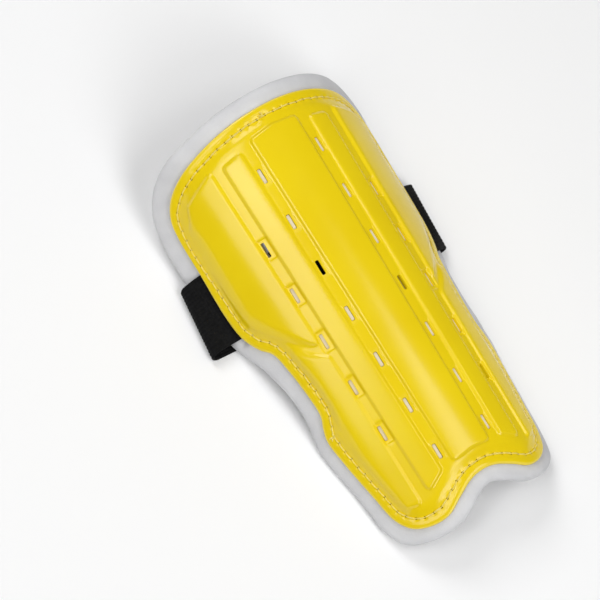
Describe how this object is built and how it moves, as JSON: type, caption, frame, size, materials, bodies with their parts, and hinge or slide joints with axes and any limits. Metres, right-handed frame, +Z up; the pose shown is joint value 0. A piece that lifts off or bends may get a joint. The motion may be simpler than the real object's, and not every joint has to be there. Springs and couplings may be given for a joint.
{
  "type": "soccer shin guard",
  "caption": "Curved soccer shin guard: glossy moulded plastic shell with raised panels and vent slots, sewn to a larger foam pad, with an elastic strap across the back.",
  "frame": {"origin": "middle of the underside of the whole guard as it lies hollow side down, on the surface it rests on", "axes": "+Y along the shin towards the knee end, +X across the leg, +Z up, away from the leg"},
  "size_m": [0.1194, 0.1978, 0.051],
  "materials": {
    "shell_plastic": "glossy moulded plastic, smooth, with soft highlights",
    "pad_foam": "matte closed-cell foam, pale grey",
    "strap_elastic": "matte fine-ribbed woven elastic, black"
  },
  "bodies": {
    "root": {"shell": "shell_plastic", "foam_pad": "pad_foam", "strap": "strap_elastic"}
  },
  "joints": []
}
